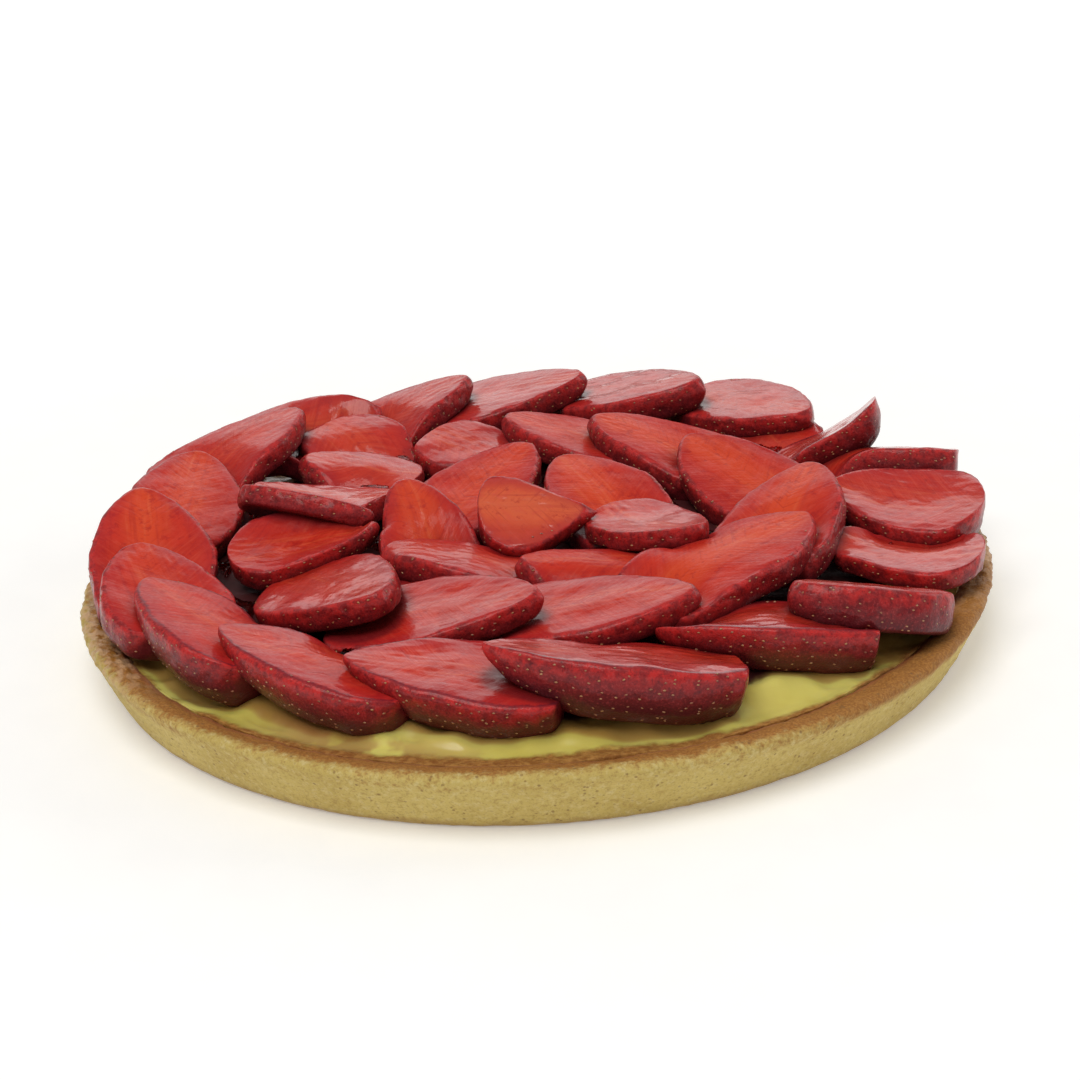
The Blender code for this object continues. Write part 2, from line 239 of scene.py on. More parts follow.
# %% The plan of the slices
# Ring, then millimetres and degrees: clock and reach place the middle, height is that of the cut
# face there, turn is the tip's way from the clock direction, rise lifts the tip, lean the left edge.
# Warmth is how orange the flesh is, from 0, deep red, and wetness how much glaze stands on the face.
#   ring, clock, reach, height, turn, rise, lean, length, width, thickness, warmth, wetness
SLICES_AS_LAID = (
    ("outer", 41, 98, 27.5, 252, 12, 0, 55, 32, 8, 0.3, 1),
    ("outer", 50, 107, 30.0, 257, 7, 6, 57, 34, 7, 0.5, 0.8),
    ("outer", 71, 103, 32.0, 255, 13, 4, 55, 34, 10, 0.3, 0.9),
    ("outer", 94, 103, 31.0, 263, 12, 3, 56, 34, 8, 0.3, 1),
    ("outer", 114, 103, 31.0, 270, 13, -3, 56, 33, 8, 0.3, 0.8),
    ("outer", 131, 108, 34.0, 254, 11, 0, 56, 34, 8, 0.5, 1),
    ("middle", 127, 81, 30.5, 179, 0, 4, 48, 31, 7, 0.5, 0.7),
    ("outer", 145, 109, 33.5, 259, 9, -2, 56, 33, 8, 0.3, 0.6),
    ("outer", 163, 104, 30.5, 283, 8, 14, 55, 34, 9, 0.8, 0.3),
    ("outer", 185, 105, 32.0, 275, 17, 6, 53, 34, 9, 0.9, 0.25),
    ("outer", 199, 104, 30.0, 273, 12, 8, 45, 34, 9, 0.5, 0.3),
    ("outer", 214, 100, 30.5, 277, 5, 12, 54, 34, 14, 0.35, 0.2),
    ("outer", 236.5, 95.5, 29.0, 278.5, 8, 6, 56, 31, 13, 0.3, 0.45),
    ("outer", 257.5, 93, 28.5, 271.5, 6, -2, 54, 32, 13, 0.3, 0.8),
    ("outer", 280.5, 94, 31.0, 265.5, 11, 13, 62, 34, 15, 0.3, 1),
    ("outer", 306.5, 92.5, 29.5, 236.5, 5, 9, 54, 28, 13, 0.3, 1),
    ("outer", 323, 103, 30.0, 241, 17, 16, 46, 33, 11, 0.3, 1),
    ("outer", 342, 102, 27.5, 176, 1, -6, 42, 32, 6, 0.3, 1),
    ("outer", 357, 102, 30.5, 160, 3, -10, 44, 34, 9, 0.3, 1),
    ("outer", 17, 102, 32.0, 152, 2, 21, 53, 32, 8, 0.3, 1),
    ("outer", 26, 95, 31.7, 149, -20, 15, 40, 22, 12, 0.3, 1),
    ("middle", 135, 72, 28.5, 20, 5, 5, 40, 27, 10, 0.3, 0.7),
    ("middle", 103, 62, 27.0, 211, -5, 8, 44, 30, 10, 0.3, 0.8),
    ("middle", 78, 69, 28.5, 78, 11, 3, 47, 31, 8, 0.6, 0.3),
    ("middle", 51, 68, 29.0, 96, 11, 0, 56, 34, 9, 0.8, 0.15),
    ("middle", 23, 67, 28.5, 100, 9, -9, 56, 33, 9, 0.9, 0.1),
    ("middle", 345, 69, 34.5, 79, 8, -8, 56, 33, 9, 1, 0.2),
    ("inner", 37, 25, 29.0, 77, 7, -6, 55, 33, 9, 0.9, 0.15),
    ("inner", 114, 33, 28.5, 303, 8, 3, 55, 33, 9, 0.7, 0.03),
    ("inner", 210, 31, 33.5, 258, 12, 1, 58, 31, 9, 0.8, 0.3),
    ("inner", 235, 30, 29.5, 294, 8, 10, 48, 31, 8, 0.3, 0.6),
    ("inner", 297, 37, 30.0, 239, 3, 14, 44, 30, 9, 0.3, 0.1),
    ("middle", 317.5, 65, 34.5, 79.5, 2, -1, 65, 36, 8, 0.9, 0.08),
    ("middle", 282, 63, 30.0, 66, 10, 3, 56, 33, 7, 0.3, 0.5),
    ("middle", 246, 64, 30.0, 97, 13, 6, 58, 33, 7, 0.3, 0.6),
    ("middle", 218, 66, 30.5, 82, 14, 11, 56, 35, 7, 0.3, 0.7),
    ("middle", 154, 68, 28.5, 10, 3, 12, 42, 26, 7, 0.3, 1),
    ("middle", 187, 63, 31.0, 185, 8, 8, 42, 30, 7, 0.3, 0.4),
    ("middle", 169, 63, 33.0, 167, -3, -38, 42, 21, 6, 0.3, 1),
    ("inner", 337, 36, 31.5, 322, 10, -3, 44, 29, 6, 0.3, 0.8),
    ("inner", 300, 4, 33.5, 60, -5, 28, 33, 27, 7, 1.4, 1),
)

print(len(SLICES_AS_LAID), "slices in the table")

# %% What sets single slices apart
# Slices that curl up at both ends (height = curl * along^2, per metre), slices with a hollow face,
# slices whose calyx end was cut off flat or is rounder than most, and slices with a drawn-out tip or
# with an axis that sways to one side.
CURL = {"outer_20": 12.0, "outer_17": 3.0, "outer_18": 3.0, "inner_06": 4.0, "middle_12": 3.0}
HOLLOW = {
    "outer_17": 1.6 * MM, "outer_18": 1.8 * MM, "inner_06": 1.6 * MM, "middle_10": 0.8 * MM,
    "middle_13": 3.0 * MM,
}
CUT_FLAT = ("outer_13", "outer_14", "outer_15", "outer_19")
WELL_ROUNDED = ("outer_16", "outer_17", "outer_18", "middle_11", "middle_13", "middle_14")
POINTED = ("inner_07", "middle_03")
SWAY = {"inner_07": -3.2 * MM}
print("curled:", len(CURL), "hollow:", len(HOLLOW), "pointed:", len(POINTED))

# %% The shape of one slice
HALF_BERRY_FROM = 11 * MM
HALF_BERRY_RISE = 1 * MM
FACE_SHARE = 0.40
FLAT_END, ROUND_END, ROUNDER_END = 0.035, 0.11, 0.24
FULL_TIP, SHARP_TIP = (1.9, 0.68), (1.15, 0.92)
EDGE_SHARPNESS = 12
END_SHARPNESS = 2.4
ALONG = 100
FACE_POINTS = 46
SIDE_POINTS = 18
UNDER_POINTS = 16


def berry_radius(share, cut, shoulder, rounding, tip):
    """Radius along the berry as a share of the widest, 0 at the calyx end and 1 at the tip.

    near = 1 - (1 - cut) (1 - s / shoulder)^2, far = (1 - t^a)^b with t from 0 at the shoulder to 1
    at the tip; the calyx end is rounded off by (1 - (1 - e)^n)^(1/n) with e = s / rounding.
    """
    near = 1 - (1 - cut) * (1 - np.minimum(share, shoulder) / shoulder) ** 2
    beyond = np.clip((share - shoulder) / (1 - shoulder), 0, 1)
    far = (1 - beyond ** tip[0]) ** tip[1]
    end = np.clip(share / rounding, 0, 1)
    return np.where(share < shoulder, near, far) * (1 - (1 - end) ** END_SHARPNESS) ** (1 / END_SHARPNESS)


def square_walk():
    """Directions round a section, evenly along the sides of a square: face, left, under, right."""
    face = np.linspace(1, -1, FACE_POINTS, endpoint=False)
    side = np.linspace(1, -1, SIDE_POINTS, endpoint=False)
    under = np.linspace(-1, 1, UNDER_POINTS, endpoint=False)
    across = np.concatenate([face, -np.ones(SIDE_POINTS), under, np.ones(SIDE_POINTS)])
    up = np.concatenate([np.ones(FACE_POINTS), side, -np.ones(UNDER_POINTS), -side])
    return across, up


ACROSS, UP = square_walk()
AROUND = len(ACROSS)


def slice_grid(length, width, thickness, form, seed, curl, hollow):
    """Points (along, around, 3) of a slice in its own frame, with what its material reads.

    Each section is a disc of the berry cut by two planes. A ray from its middle meets the disc at
    d and the planes at p, and the point lies at (d^-n + p^-n)^(-1/n), which rounds the edges.
    """
    cut, shoulder, bend, rounding, tip = form
    rise = HALF_BERRY_RISE if thickness > HALF_BERRY_FROM else FACE_SHARE * thickness
    u = np.linspace(0, 1, ALONG + 2)[1:-1]
    share = u - 0.125 * np.sin(2 * np.pi * u)
    radius = width / 2 * berry_radius(share, cut, shoulder, rounding, tip)
    uneven = 0.018 * np.sin(2 * np.pi * share * 1.7 + seed)
    radius *= 1 + uneven + 0.012 * np.sin(2 * np.pi * share * 3.1 + 2 * seed)
    top = np.minimum(rise, radius)
    low = np.maximum(rise - thickness, -radius)
    middle = (top + low) / 2
    half_width = np.sqrt(np.maximum(radius**2 - middle**2, 1e-12))
    way_y = half_width[:, None] * ACROSS
    way_z = ((top - low) / 2)[:, None] * UP
    size = np.hypot(way_y, way_z)
    cos, sin = way_y / size, way_z / size
    to_disc = np.sqrt(np.maximum(radius[:, None] ** 2 - (middle[:, None] * cos) ** 2, 0))
    to_disc = -middle[:, None] * sin + to_disc
    plane = np.where(sin > 0, rise - middle[:, None], middle[:, None] - (rise - thickness))
    to_plane = plane / np.maximum(np.abs(sin), 1e-9)
    reach = (to_disc**-EDGE_SHARPNESS + to_plane**-EDGE_SHARPNESS) ** (-1 / EDGE_SHARPNESS)
    x = np.broadcast_to(length * (share - 0.5)[:, None], reach.shape)
    y = reach * cos + (bend * np.sin(np.pi * share))[:, None]
    z = middle[:, None] + reach * sin - rise
    lopsided = 0.03 * np.sin(2 * np.pi * 0.8 * share + seed)[:, None]
    y = y * (1 + lopsided * np.sign(ACROSS))
    on_face = smooth_step(0.0, 1.0, (to_disc - to_plane) / MM) * (sin > 0)
    inward = 1 - np.minimum(np.abs(reach * cos) / half_width[:, None], 1) ** 2
    along = np.clip(4 * share * (1 - share), 0, 1)[:, None]
    z = z + curl * x**2 - hollow * inward * along * (UP + 1) / 2
    grid = np.stack([x, y, z], axis=-1)
    margin = (half_width[:, None] - np.abs(reach * cos)) * (sin > 0)
    return grid, on_face, margin, rise


def turn_matrix(heading, rise, lean):
    """Turn about Z after tipping the tip up after lifting the left edge, as one matrix."""
    ch, sh = np.cos(heading), np.sin(heading)
    cr, sr = np.cos(rise), np.sin(rise)
    cl, sl = np.cos(lean), np.sin(lean)
    about_z = np.array([[ch, -sh, 0], [sh, ch, 0], [0, 0, 1]])
    tip_up = np.array([[cr, 0, -sr], [0, 1, 0], [sr, 0, cr]])
    edge_up = np.array([[1, 0, 0], [0, cl, -sl], [0, sl, cl]])
    return about_z @ tip_up @ edge_up


print("a slice has", ALONG * AROUND + 2, "points")

# %% Seeds, fibres and place of a slice
SEED_STEP_ALONG = 2.5 * MM
SEED_STEP_ROUND = 3.4 * MM
DIMPLE_RADIUS = 0.75 * MM
DIMPLE_DEPTH = 0.28 * MM
RIDGE_WAVES = 9
FIBRE_RELIEF = 0.014
FACE_SWELL = 0.22 * MM
FACE_RIPPLE = 0.05 * MM
SKIN_LUMPS = 0.12 * MM


def seed_places(length, radius_of, rise, thickness, rng):
    """Seeds sit in slanting rows on the skin, in even steps along and round the berry."""
    places = []
    for number, x in enumerate(np.arange(2.0 * MM, length - 1.2 * MM, SEED_STEP_ALONG)):
        radius = radius_of(x / length)
        around = max(4, int(round(2 * np.pi * radius / SEED_STEP_ROUND)))
        angle = (np.arange(around) + 0.5 * (number % 2)) * 2 * np.pi / around
        angle = angle + rng.normal(0, 0.10, around)
        along = x + rng.normal(0, 0.65 * MM, around)
        ring = [along - length / 2, radius * np.cos(angle), radius * np.sin(angle) - rise]
        places.append(np.stack(ring, axis=-1))
    places = np.concatenate(places)
    keep = (places[:, 2] < -0.5 * MM) & (places[:, 2] > -thickness + 0.4 * MM)
    return places[keep]


def face_relief(x, y, seed):
    """Ridges along the cut face that fan out a little: the mean of sines with seeded directions."""
    rng = np.random.default_rng(seed + 500)
    total = np.zeros_like(x)
    for _ in range(RIDGE_WAVES):
        wavelength = rng.uniform(2.0, 6.5) * MM
        slant = rng.normal(0, 0.16)
        fan = rng.normal(0, 4.0)
        phase = rng.uniform(0, 2 * np.pi)
        run = y * (1 + fan * x) + x * slant
        total += wavelength * np.sin(2 * np.pi * run / wavelength + phase)
    return total / RIDGE_WAVES


class Slice:
    """One slice where it lies: its grid in the frame of the tart and the facts its looks need."""

    def __init__(self, name, number, row, form):
        clock, reach, height, turn, rise, lean = row[:6]
        self.name, self.number, self.warmth, self.wetness = name, number, *row[9:]
        length, width, thickness = (v * MM for v in row[6:9])
        rng = np.random.default_rng(900 + number)
        curl, hollow = CURL.get(name, 0.0), HOLLOW.get(name, 0.0)
        grid, self.on_face, self.margin, axis_drop = slice_grid(
            length, width, thickness, form, number, curl, hollow)
        self.own = grid.copy()
        self.seeds = seed_places(
            length, lambda s: width / 2 * berry_radius(np.float64(s), form[0], form[1], *form[3:]),
            axis_drop, thickness, rng)
        self.seeds[:, 2] += curl * self.seeds[:, 0] ** 2
        nearest = np.full(grid.shape[:2], 1.0)
        for place in self.seeds:
            nearest = np.minimum(nearest, np.linalg.norm(grid - place, axis=-1))
        self.dimple = np.exp(-((nearest / DIMPLE_RADIUS) ** 2)) * (1 - self.on_face)
        out = grid - grid.reshape(-1, 3).mean(axis=0)
        out[..., 0] *= 0.3
        out /= np.linalg.norm(out, axis=-1)[..., None]
        relief = face_relief(grid[..., 0], grid[..., 1], number)
        soft = waves(grid, 13 * MM, number + 40)
        ripple = waves(grid, 3.0 * MM, number + 120, stretch=(1.6, 0.7, 1))
        grid[..., 2] += self.on_face * (FIBRE_RELIEF * relief + FACE_SWELL * soft + FACE_RIPPLE * ripple)
        lumps = waves(grid, 4.2 * MM, number + 80)
        grid += out * ((1 - self.on_face) * (SKIN_LUMPS * lumps - DIMPLE_DEPTH * self.dimple))[..., None]
        self.unplaced = grid.copy()
        self.own[..., 2] = np.minimum(grid[..., 2] - curl * grid[..., 0] ** 2, 0)
        at = np.radians(clock)
        middle = np.array([reach * np.cos(at), reach * np.sin(at), height]) * MM
        self.matrix = turn_matrix(np.radians(clock + turn), np.radians(rise), np.radians(lean))
        self.grid = grid @ self.matrix.T + middle


def plan_slices():
    """Every slice in laying order. The seeded forms are those of the CAD, whose ends and tips are plain."""
    rng = np.random.default_rng(11)
    count = {"outer": 0, "middle": 0, "inner": 0}
    plan = []
    for number, (ring, *row) in enumerate(SLICES_AS_LAID):
        count[ring] += 1
        cut = 0.70 + 0.06 * rng.uniform(-1, 1)
        shoulder = 0.34 + 0.03 * rng.uniform(-1, 1)
        bend = 1.4 * MM * rng.uniform(-1, 1)
        name = f"{ring}_{count[ring]:02d}"
        rounding = FLAT_END if name in CUT_FLAT else ROUNDER_END if name in WELL_ROUNDED else ROUND_END
        tip = SHARP_TIP if name in POINTED else FULL_TIP
        plan.append(Slice(name, number, row, (cut, shoulder, SWAY.get(name, bend), rounding, tip)))
    return plan


plan = plan_slices()
print(len(plan), "slices planned,", sum(len(piece.seeds) for piece in plan), "seeds")

# %% [markdown]
# ## Laying the slices on each other
#
# Ripe fruit gives way: a slice bends down where a later one lies on it, and the later one is pressed
# thinner there. Working back from the last slice laid, a map keeps how high the faces below may
# stand. A slice that stands higher has to sink, and a smooth sheet stretched over those depths
# carries the bend on into what still shows. Then, in laying order, hidden undersides are lifted.

# %% Press every slice under the later ones
COARSE = 3
BEND_PASSES = 60
# COVER is how thick a slice stays where it lies on others, OVERLAP how deep it reaches into them.
COVER = 3.4 * MM
OVERLAP = 0.3 * MM
BED_SINK = 0.3 * MM
FACE_OVER_BED = 0.5 * MM


def refined(grid):
    """The grid with a midpoint between all neighbours, along and around."""
    rows = np.empty((2 * len(grid) - 1, *grid.shape[1:]))
    rows[::2] = grid
    rows[1::2] = (grid[1:] + grid[:-1]) / 2
    out = np.empty((rows.shape[0], 2 * rows.shape[1], 3))
    out[:, ::2] = rows
    out[:, 1::2] = (rows + np.roll(rows, -1, axis=1)) / 2
    return out


def height_maps(grid):
    """Lowest and highest z of a closed surface over each cell of the map."""
    points = refined(refined(grid)).reshape(-1, 3)
    cell = np.rint((points[:, :2] + HALF_MAP) / STEP).astype(int).clip(0, CELLS - 1)
    index = cell[:, 0] * CELLS + cell[:, 1]
    low = np.full(CELLS * CELLS, FAR_UP)
    high = np.full(CELLS * CELLS, -FAR_UP)
    np.minimum.at(low, index, points[:, 2])
    np.maximum.at(high, index, points[:, 2])
    return low.reshape(CELLS, CELLS), high.reshape(CELLS, CELLS)


def lowest_near(height_map):
    """Each cell takes the lowest of itself and its eight neighbours: along one way, then the other."""
    padded = np.pad(height_map, 1, constant_values=FAR_UP)
    rows = np.minimum(np.minimum(padded[:-2], padded[1:-1]), padded[2:])
    return np.minimum(np.minimum(rows[:, :-2], rows[:, 1:-1]), rows[:, 2:])


def soft_bend(needed):
    """How far a slice sinks: s = max(needed, blurred s) over and over on a coarser map, then smoothed."""
    count = CELLS // COARSE
    whole = needed[:count * COARSE, :count * COARSE]
    blocks = whole.reshape(count, COARSE, count, COARSE).max(axis=(1, 3))
    bend = blocks
    for _ in range(BEND_PASSES):
        bend = np.maximum(blocks, blurred(bend, 1))
    return np.maximum(needed, blurred(bend.repeat(COARSE, axis=0).repeat(COARSE, axis=1), 10))


def press(piece, ceiling):
    """Sink a slice below the ceiling, z - bend(x, y), and bring what then lies too low up to the bed."""
    x, y, z = piece.grid[..., 0], piece.grid[..., 1], piece.grid[..., 2]
    under_fruit = ceiling < FAR_UP
    high_map = height_maps(piece.grid)[1]
    needed = np.where((high_map > 0) & under_fruit, high_map - ceiling, 0).clip(0, None)
    bed = bed_height(x, y) - BED_SINK + FACE_OVER_BED * (UP > 0)
    piece.grid[..., 2] = np.maximum(z - sample(soft_bend(needed), x, y), bed)
    covered = sample(np.where(under_fruit, 1.0, 0.0), x, y) > 0.5
    lowest_shown = sample(np.where(under_fruit, ceiling, -FAR_UP), x, y) + MM
    piece.hidden = covered & (piece.grid[..., 2] < lowest_shown)


def lift_underside(piece, floor):
    """Raise what lies inside the slices laid before it, until it reaches only just into them."""
    x, y, z = piece.grid[..., 0], piece.grid[..., 1], piece.grid[..., 2]
    lifted = np.maximum(z, sample(floor, x, y) - OVERLAP)
    piece.hidden = piece.hidden | (lifted > z + 0.1 * MM)
    piece.grid[..., 2] = lifted


ceiling = np.full((CELLS, CELLS), FAR_UP)
for piece in reversed(plan):
    press(piece, ceiling)
    low_map, high_map = height_maps(piece.grid)
    covered = np.where(high_map > 0, np.maximum(high_map - COVER, low_map), FAR_UP)
    ceiling = np.minimum(ceiling, lowest_near(covered))

fruit_top = np.full((CELLS, CELLS), -FAR_UP)
for piece in plan:
    lift_underside(piece, np.where(fruit_top > 0, lowest_near(fruit_top), -FAR_UP))
    fruit_top = np.maximum(fruit_top, height_maps(piece.grid)[1])


def stray(piece):
    """How far the box of a slice strays from that of its CAD node, and the name of the slice."""
    box = np.array([piece.grid.min(axis=(0, 1)), piece.grid.max(axis=(0, 1))])
    return float(np.abs(box - np.array(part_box("slice_" + piece.name))).max() / MM), piece.name


print("largest difference from the CAD boxes, mm:", max(map(stray, plan)))

# %% [markdown]
# ## Looks from nodes
#
# A small helper keeps each material short. Every look mixes colours by noise, by how high a point
# lies or by facts stored on the mesh, and takes its fine relief from a bump.

# %% A short way to write node trees
class Nodes:
    """Builds a node tree. Calls return output sockets, and arguments may be sockets or numbers."""

    def __init__(self, name):
        self.material = bpy.data.materials.new(name)
        self.material.use_nodes = True
        self.tree = self.material.node_tree
        self.shader = self.tree.nodes["Principled BSDF"]
        self.object = self.add("TexCoord")["Object"]

    def feed(self, socket, value):
        if isinstance(value, bpy.types.NodeSocket):
            self.tree.links.new(value, socket)
        elif isinstance(value, tuple) and socket.type == "RGBA":
            socket.default_value = (*value, 1.0)
        else:
            socket.default_value = value

    def add(self, kind, inputs=(), **settings):
        """The outputs of a new node of the kind, with its settings, and inputs by name or number."""
        node = self.tree.nodes.new("ShaderNode" + kind)
        for key, value in settings.items():
            setattr(node, key, value)
        for key, value in dict(inputs).items():
            self.feed(node.inputs[key], value)
        return node.outputs

    def attribute(self, name, output="Fac"):
        return self.add("Attribute", attribute_name=name)[output]

    def math(self, operation, *values):
        numbers = (*values, 0.0, 0.0)[:3]
        return self.add("Math", enumerate(numbers), operation=operation)[0]

    def times(self, a, b):
        return self.math("MULTIPLY", a, b)

    def line(self, value, slope, start):
        """start + slope * value"""
        return self.math("MULTIPLY_ADD", value, slope, start)

    def strayed(self, value, noise, swing):
        """The value moved by the noise, whose mean is 0.5: value + swing * (noise - 0.5)."""
        return self.line(self.math("SUBTRACT", noise, 0.5), swing, value)

    def ramp(self, value, low, high, to_low=0.0, to_high=1.0):
        inputs = enumerate((value, low, high, to_low, to_high))
        return self.add("MapRange", inputs, interpolation_type="SMOOTHSTEP")["Result"]

    def parts(self, vector):
        return self.add("SeparateXYZ", {0: vector})

    def joined(self, *values):
        return self.add("CombineXYZ", enumerate(values))[0]

    def length(self, vector):
        return self.add("VectorMath", {0: vector}, operation="LENGTH")["Value"]

    def from_axis(self):
        """Distance of a point from the upright axis of the tart."""
        return self.length(self.add("VectorMath", {0: self.object, 1: (1, 1, 0)}, operation="MULTIPLY")[0])

    def noise(self, scale, vector=None, detail=3.0, roughness=0.55):
        inputs = {"Vector": vector or self.object, "Scale": scale, "Detail": detail, "Roughness": roughness}
        return self.add("TexNoise", inputs)["Fac"]

    def spots(self, scale):
        return self.add("TexVoronoi", {"Vector": self.object, "Scale": scale})["Distance"]

    def mix(self, factor, a, b):
        return self.add("Mix", {0: factor, 6: a, 7: b}, data_type="RGBA")[2]

    def layered(self, colour, *coats):
        """The colour under coats of (factor, colour), laid in turn."""
        for factor, coat in coats:
            colour = self.mix(factor, colour, coat)
        return colour

    def bump(self, height, distance, after=None):
        inputs = {"Height": height, "Distance": distance}
        return self.add("Bump", {**inputs, "Normal": after} if after else inputs)["Normal"]

    def finish(self, **inputs):
        for key, value in inputs.items():
            self.feed(self.shader.inputs[key.replace("_", " ")], value)
        return self.material


print("node helper ready")

# %% [markdown]
# ## Strawberry flesh and skin
#
# Under the glaze the cut face is bright red, warmer along the core, with pale fibres that run from
# the core to the skin and lean to the tip. A thin line of dark skin borders it. The skin is red at
# the cut and is painted darker below it, down to a dull purple red, as shade on the lower skin; face
# and skin are painted darker still in the creases between slices, as shade. One material reads these
# facts from attributes, so that 41 slices share it and still differ. The thin coat of glaze is the
# shader's own coat, with its amount from each slice.

# %% The fruit's material
SKIN_WETNESS = 0.40


def strawberry_look():
    n = Nodes("strawberry_flesh_and_skin")
    names = ("on_face", "margin", "depth", "dimple", "warmth", "wet", "berry", "crease")
    on_face, margin, depth, dimple, warmth, wet, berry, crease = (n.attribute(name) for name in names)
    x, y, _ = n.parts(n.attribute("own", "Vector"))
    side = n.math("ABSOLUTE", y)
    lean = n.line(side, -0.8, x)
    fibres = n.noise(0.75, n.joined(n.times(lean, 1000.0), n.times(side, 130.0), n.times(berry, 7.3)), 2.0)
    streaks = n.noise(0.6, n.joined(n.times(x, 70.0), n.times(y, 900.0), n.times(berry, 3.1)), 2.0)
    cloud = n.noise(90.0, detail=2.0)
    blotch = n.noise(300.0, detail=4.0, roughness=0.7)
    mottle = n.noise(420.0)
    fringe = n.noise(750.0, detail=2.0, roughness=0.7)
    fine = n.noise(1100.0)
    speckle = n.noise(1500.0, detail=2.0, roughness=0.7)

    core = n.ramp(n.math("ADD", side, n.times(n.math("SUBTRACT", cloud, 0.5), 0.008)), 0.0095, 0.001)
    pale_heart = n.times(n.ramp(warmth, 1.0, 2.0, 0.0, 0.85), n.line(core, 0.6, 0.3))
    rim_at = n.strayed(margin, fringe, 0.0022)
    flesh = n.layered(
        n.mix(n.ramp(cloud, 0.3, 0.7), (0.44, 0.012, 0.010), (0.56, 0.022, 0.014)),
        (n.times(warmth, n.line(core, 0.75, 0.25)), (0.68, 0.062, 0.016)),
        (pale_heart, (0.72, 0.24, 0.10)),
        (n.times(n.ramp(fibres, 0.50, 0.72), 0.40), (0.66, 0.070, 0.036)),
        (n.times(n.ramp(streaks, 0.52, 0.72), n.times(core, 0.40)), (0.72, 0.13, 0.05)),
        (n.ramp(streaks, 0.47, 0.25, 0.0, 0.35), (0.36, 0.010, 0.012)),
        (n.ramp(fibres, 0.46, 0.28, 0.0, 0.35), (0.36, 0.010, 0.013)),
        (n.ramp(blotch, 0.52, 0.70, 0.0, 0.35), (0.64, 0.060, 0.040)),
        (n.ramp(blotch, 0.47, 0.30, 0.0, 0.55), (0.36, 0.009, 0.011)),
        (n.ramp(rim_at, 0.0065, 0.0015, 0.0, 0.45), (0.40, 0.018, 0.026)),
        (n.ramp(rim_at, 0.0012, 0.0001, 0.0, 0.85), (0.15, 0.012, 0.024)),
    )
    # Painted shade: the skin is darkened towards a dull purple red the deeper it lies below the cut face.
    skin = n.layered(
        n.mix(n.ramp(depth, 0.0, 0.0060), (0.56, 0.026, 0.024), (0.27, 0.015, 0.018)),
        (n.ramp(depth, 0.0035, 0.0120), (0.075, 0.011, 0.016)),
        (n.ramp(mottle, 0.38, 0.66, 0.0, 0.65), (0.12, 0.011, 0.016)),
        (n.ramp(speckle, 0.52, 0.72, 0.0, 0.50), (0.46, 0.060, 0.060)),
        (n.ramp(speckle, 0.46, 0.30, 0.0, 0.55), (0.055, 0.008, 0.014)),
        # Painted shade in the seed dimples: the skin is darker where it dips round each seed.
        (n.times(dimple, 0.6), (0.10, 0.012, 0.012)),
    )
    # Painted shade: face and skin are darkened to a deep red where they lie low in the creases between
    # slices.
    colour = n.layered(skin, (on_face, flesh), (n.times(crease, 0.72), (0.085, 0.006, 0.011)))

    off_face = n.math("SUBTRACT", 1.0, on_face)
    fibrous = n.math("ADD", n.times(fibres, 0.7), n.times(streaks, 0.6))
    relief = n.math("ADD", n.times(fibrous, on_face), n.times(fine, 0.35))
    relief = n.math("ADD", relief, n.times(off_face, speckle))
    relief = n.math("ADD", relief, n.times(blotch, 0.8))
    coat = n.bump(n.noise(95.0, detail=2.0), 0.0005, after=n.bump(relief, 0.00006))
    return n.finish(
        Base_Color=colour, Roughness=n.ramp(fine, 0.3, 0.7, 0.32, 0.5), Normal=n.bump(relief, 0.00018),
        Coat_Weight=n.math("ADD", n.times(on_face, wet), n.times(off_face, SKIN_WETNESS)),
        Coat_Roughness=0.12, Coat_IOR=1.38, Coat_Normal=coat, Specular_IOR_Level=0.12,
    )


print("fruit material ready")

# %% The slices as meshes
def with_poles(values):
    """Grid values as one list, with the mean of each end ring for the poles."""
    first, last = values[:1].mean(axis=1), values[-1:].mean(axis=1)
    return np.concatenate([first, values.reshape(-1, *values.shape[2:]), last])


def crease_depth(grid):
    """How deep a point lies below the fruit's blurred height between slices, 0 to 1: the amount of painted
    shade there.
    """
    return smooth_step(0.4 * MM, 4.5 * MM, sample(soft_top, grid[..., 0], grid[..., 1]) - grid[..., 2])


strawberry = strawberry_look()
slice_faces = tube_faces(ALONG, AROUND)
soft_top = blurred(np.where(fruit_top > 0, fruit_top, CUSTARD_TOP), 90)
for piece in plan:
    count = ALONG * AROUND + 2
    obj = mesh_object(
        "berry_" + piece.name, with_poles(piece.grid), slice_faces, slot="strawberry",
        own=with_poles(piece.own), on_face=with_poles(piece.on_face), margin=with_poles(piece.margin),
        depth=with_poles(np.maximum(-piece.own[..., 2], 0)), dimple=with_poles(piece.dimple),
        warmth=np.full(count, piece.warmth), wet=np.full(count, piece.wetness),
        berry=np.full(count, float(piece.number)), crease=with_poles(crease_depth(piece.grid)),
    )
    obj.data.materials.append(strawberry)
    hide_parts("slice_" + piece.name)
print("slices built:", len(plan), "of", 2 * ALONG * AROUND, "triangles each")

# %% [markdown]
# ## Seeds
#
# Each seed is a tiny drop that sits in a dimple of the skin and points along the berry. They are
# real pieces of a few dozen faces, placed on the nearest point of the pressed skin and turned to
# its normal, and left out where another slice covers the skin.

# %% Seeds on the skins
SEED_AROUND = 6
SEED_RINGS = 3
SEEDS_LEFT = 0.86
SEED_SIZE = (0.38 * MM, 0.23 * MM, 0.16 * MM)


